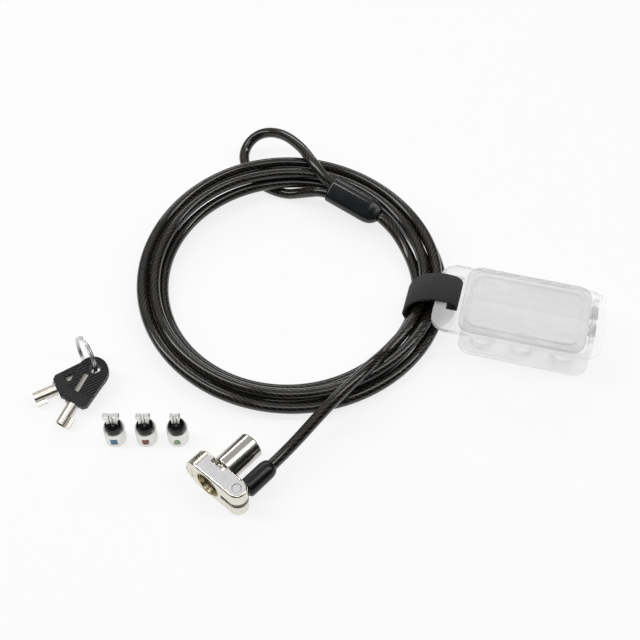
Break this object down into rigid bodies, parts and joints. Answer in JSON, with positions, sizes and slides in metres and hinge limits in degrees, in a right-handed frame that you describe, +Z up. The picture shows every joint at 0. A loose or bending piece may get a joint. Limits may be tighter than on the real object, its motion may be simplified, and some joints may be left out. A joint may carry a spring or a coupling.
{
  "type": "laptop cable lock",
  "caption": "Keyed cable lock: hinged, swivelling lock head on a coiled steel cable with an end loop, strap, clear hinged case, separate locking tips and keys on a ring.",
  "frame": {"origin": "on the table under the middle of the kit, cord left out", "axes": "+Z up, +X from the keys towards the case, +Y from the lock head towards the coil"},
  "size_m": [0.2466, 0.2107, 0.0229],
  "materials": {
    "cable_jacket": "clear smoky jacket over dark stranded steel, glossy",
    "black_plastic": "moulded, fine grain",
    "black_rubber": "smooth, slightly glossy",
    "nickel": "satin nickel plate on cast zinc",
    "steel": "satin",
    "brass": "machined",
    "chrome": "polished",
    "strap_fabric": "woven hook-and-loop tape",
    "clear_plastic": "clear moulded, softly frosted",
    "mark_blue": "paint",
    "mark_red": "paint",
    "mark_green": "paint"
  },
  "bodies": {
    "cable_and_case": {"cable_lead": "cable_jacket", "cable_coil": "cable_jacket", "cable_tail": "cable_jacket", "cable_loop": "cable_jacket", "loop_ferrule": "black_plastic", "crimp_sleeve": "steel", "cable_crimp": "steel", "strain_relief": "black_rubber", "strap": "strap_fabric", "case_tray": "clear_plastic", "case_hinge_pin": "clear_plastic"},
    "eye": {"swivel_eye": "nickel"},
    "lock_head": {"pivot_pin": "steel", "head_bracket": "nickel", "end_plug": "nickel", "socket_ring": "brass", "barrel_shell": "chrome", "pin_block": "brass", "driver_pins": "brass", "pin_springs": "steel"},
    "plug": {"key_plug": "chrome", "key_pins": "brass", "drive_spindle": "steel"},
    "lid": {"case_lid": "clear_plastic"},
    "key_a": {"key_a_head": "black_plastic", "key_a_shank": "chrome"},
    "key_b": {"key_b_head": "black_plastic", "key_b_shank": "chrome"},
    "ring": {"key_ring": "steel"},
    "tip_a": {"tip_a_body": "nickel", "tip_a_cap": "black_plastic", "tip_a_mark": "mark_blue"},
    "tip_a_core": {"tip_a_spreader": "nickel"},
    "tip_a_left": {"tip_a_arm_left": "nickel"},
    "tip_a_right": {"tip_a_arm_right": "nickel"},
    "tip_b": {"tip_b_body": "nickel", "tip_b_cap": "black_plastic", "tip_b_mark": "mark_red"},
    "tip_b_core": {"tip_b_spreader": "nickel"},
    "tip_b_left": {"tip_b_arm_left": "nickel"},
    "tip_b_right": {"tip_b_arm_right": "nickel"},
    "tip_c": {"tip_c_body": "nickel", "tip_c_cap": "black_plastic", "tip_c_mark": "mark_green"},
    "tip_c_core": {"tip_c_spreader": "nickel"},
    "tip_c_left": {"tip_c_arm_left": "nickel"},
    "tip_c_right": {"tip_c_arm_right": "nickel"}
  },
  "joints": [
    {"name": "cable_swivel", "type": "hinge", "parent": "cable_and_case", "child": "eye", "pos_m": [-0.02564, -0.04423, 0.00725], "axis": [0.6691, 0.7431, 0], "continuous": true},
    {"name": "head_pivot", "type": "hinge", "parent": "eye", "child": "lock_head", "pos_m": [-0.03344, -0.05288, 0.00725], "axis": [0, 0, 1], "range_deg": [0, 180]},
    {"name": "key_turn", "type": "hinge", "parent": "lock_head", "child": "plug", "pos_m": [-0.03248, -0.03269, 0.00725], "axis": [-0.6691, -0.7431, 0], "range_deg": [0, 90]},
    {"name": "lid_hinge", "type": "hinge", "parent": "cable_and_case", "child": "lid", "pos_m": [0.11558, 0.0239, 0.02135], "axis": [0.2504, 0.9681, 0], "range_deg": [0, 110]},
    {"name": "keys_lift", "type": "slide", "parent": "cable_and_case", "child": "key_a", "axis": [0, 0, 1], "range_m": [0, 0.1]},
    {"name": "key_b_fan", "type": "hinge", "parent": "key_a", "child": "key_b", "pos_m": [-0.09696, 0.00845, 0.0081], "axis": [0.0626, -0.2511, 0.9659], "range_deg": [-45, 6]},
    {"name": "key_ring_swing", "type": "hinge", "parent": "key_a", "child": "ring", "pos_m": [-0.09696, 0.00845, 0.0081], "axis": [0.0626, -0.2511, 0.9659], "range_deg": [-25, 25]},
    {"name": "tip_a_lift", "type": "slide", "parent": "cable_and_case", "child": "tip_a", "axis": [0, 0, 1], "range_m": [0, 0.1]},
    {"name": "tip_a_spread", "type": "slide", "parent": "tip_a", "child": "tip_a_core", "axis": [0, 0, 1], "range_m": [0, 0.001]},
    {"name": "tip_a_left_out", "type": "slide", "parent": "tip_a", "child": "tip_a_left", "axis": [-1, 0, 0], "range_m": [0, 0.0005]},
    {"name": "tip_a_right_out", "type": "slide", "parent": "tip_a", "child": "tip_a_right", "axis": [1, 0, 0], "range_m": [0, 0.0005]},
    {"name": "tip_b_lift", "type": "slide", "parent": "cable_and_case", "child": "tip_b", "axis": [0, 0, 1], "range_m": [0, 0.1]},
    {"name": "tip_b_spread", "type": "slide", "parent": "tip_b", "child": "tip_b_core", "axis": [0, 0, 1], "range_m": [0, 0.001]},
    {"name": "tip_b_left_out", "type": "slide", "parent": "tip_b", "child": "tip_b_left", "axis": [-1, 0, 0], "range_m": [0, 0.0005]},
    {"name": "tip_b_right_out", "type": "slide", "parent": "tip_b", "child": "tip_b_right", "axis": [1, 0, 0], "range_m": [0, 0.0005]},
    {"name": "tip_c_lift", "type": "slide", "parent": "cable_and_case", "child": "tip_c", "axis": [0, 0, 1], "range_m": [0, 0.1]},
    {"name": "tip_c_spread", "type": "slide", "parent": "tip_c", "child": "tip_c_core", "axis": [0, 0, 1], "range_m": [0, 0.001]},
    {"name": "tip_c_left_out", "type": "slide", "parent": "tip_c", "child": "tip_c_left", "axis": [-1, 0, 0], "range_m": [0, 0.0005]},
    {"name": "tip_c_right_out", "type": "slide", "parent": "tip_c", "child": "tip_c_right", "axis": [1, 0, 0], "range_m": [0, 0.0005]}
  ],
  "couplings": [
    {"joint": "tip_a_left_out", "follows": "tip_a_spread", "ratio": 0.5},
    {"joint": "tip_a_right_out", "follows": "tip_a_spread", "ratio": 0.5},
    {"joint": "tip_b_left_out", "follows": "tip_b_spread", "ratio": 0.5},
    {"joint": "tip_b_right_out", "follows": "tip_b_spread", "ratio": 0.5},
    {"joint": "tip_c_left_out", "follows": "tip_c_spread", "ratio": 0.5},
    {"joint": "tip_c_right_out", "follows": "tip_c_spread", "ratio": 0.5}
  ]
}
